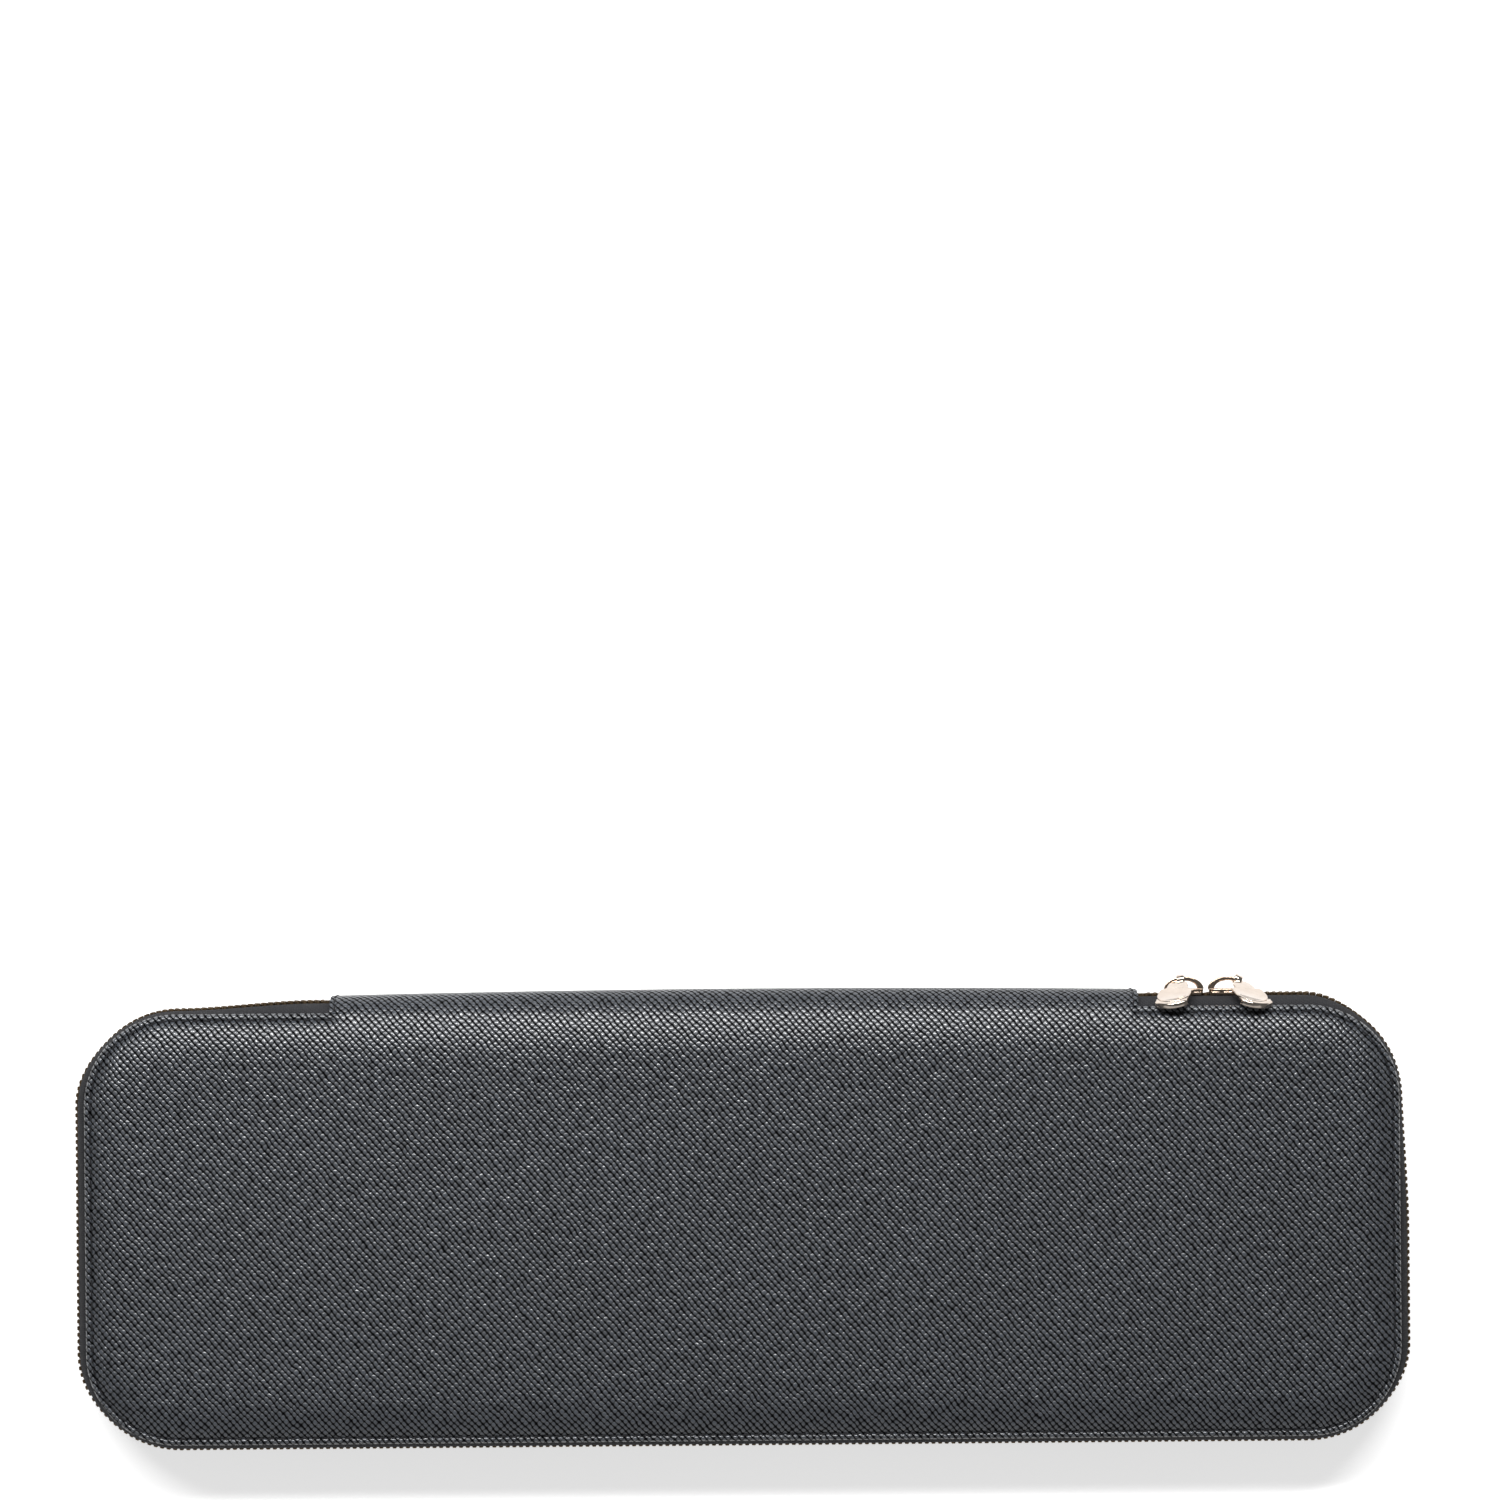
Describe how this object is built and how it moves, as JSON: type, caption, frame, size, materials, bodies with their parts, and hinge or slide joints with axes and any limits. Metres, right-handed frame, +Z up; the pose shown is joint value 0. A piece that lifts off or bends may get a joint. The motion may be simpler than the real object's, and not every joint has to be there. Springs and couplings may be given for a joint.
{
  "type": "fountain pen case",
  "caption": "Long flat zip-around pen case in cross-grain black leather, with a book spine, padded covers, a metal zip with two gold sliders, and elastic pen loops inside.",
  "frame": {"origin": "middle of the back cover's flat outer face, which the closed case lies on", "axes": "+X along the case towards the sliders' end of the picture, +Y towards the spine, +Z up through the front cover"},
  "size_m": [0.4004, 0.1416, 0.0291],
  "materials": {
    "leather": "charcoal black leather with an embossed cross grain, satin",
    "foam": "dark closed-cell foam, matte",
    "board": "grey bookbinding board, matte",
    "lining": "black napped lining cloth, matte",
    "tape": "black woven zip tape, matte",
    "teeth": "antique brass teeth, satin",
    "slider_metal": "pale gold plating, polished",
    "elastic": "black woven elastic, matte",
    "pocket": "smooth thin black leather, satin"
  },
  "bodies": {
    "back_half": {"back_cover_leather": "leather", "back_foam": "foam", "back_board": "board", "back_lining_card": "board", "back_lining": "lining", "back_zip_tape": "tape", "back_zip_teeth": "teeth", "left_outer_pen_loops": "elastic", "left_inner_pen_loops": "elastic", "right_inner_pen_loops": "elastic", "right_outer_pen_loops": "elastic"},
    "spine": {"spine_leather": "leather", "spine_board": "board", "spine_lining": "lining", "front_fold_leather": "leather", "back_fold_leather": "leather", "front_fold_lining": "lining", "back_fold_lining": "lining", "left_zip_end_tape": "tape", "right_zip_end_tape": "tape", "zip_end_teeth": "teeth", "zip_end_stops": "teeth"},
    "front_half": {"front_cover_leather": "leather", "front_foam": "foam", "front_board": "board", "front_lining_card": "board", "front_lining": "lining", "front_zip_tape": "tape", "front_zip_teeth": "teeth", "slip_pocket": "pocket", "pocket_binding": "pocket"},
    "left_slider": {"left_slider": "slider_metal"},
    "right_slider": {"right_slider": "slider_metal"},
    "left_pull": {"left_pull": "slider_metal"},
    "right_pull": {"right_pull": "slider_metal"}
  },
  "joints": [
    {"name": "back_fold", "type": "hinge", "parent": "back_half", "child": "spine", "pos_m": [0, 0.067, 0.0035], "axis": [-1, 0, 0], "range_deg": [0, 90], "deforming": ["back_fold_leather", "back_fold_lining"]},
    {"name": "front_fold", "type": "hinge", "parent": "spine", "child": "front_half", "pos_m": [0, 0.067, 0.0245], "axis": [-1, 0, 0], "range_deg": [0, 90], "deforming": ["front_fold_leather", "front_fold_lining"]},
    {"name": "left_slider_run", "type": "slide", "parent": "spine", "child": "left_slider", "axis": [1, 0, 0], "range_m": [-0.005, 0]},
    {"name": "right_slider_run", "type": "slide", "parent": "spine", "child": "right_slider", "axis": [1, 0, 0], "range_m": [0, 0.017]},
    {"name": "left_pull_swing", "type": "hinge", "parent": "left_slider", "child": "left_pull", "pos_m": [0.1326, 0.0719, 0.014], "axis": [-1, 0, 0], "range_deg": [0, 30]},
    {"name": "right_pull_swing", "type": "hinge", "parent": "right_slider", "child": "right_pull", "pos_m": [0.1471, 0.0719, 0.014], "axis": [-1, 0, 0], "range_deg": [0, 30]}
  ],
  "couplings": [
    {"joint": "left_pull_swing", "follows": "front_fold", "ratio": 0.33333},
    {"joint": "right_pull_swing", "follows": "front_fold", "ratio": 0.33333}
  ]
}
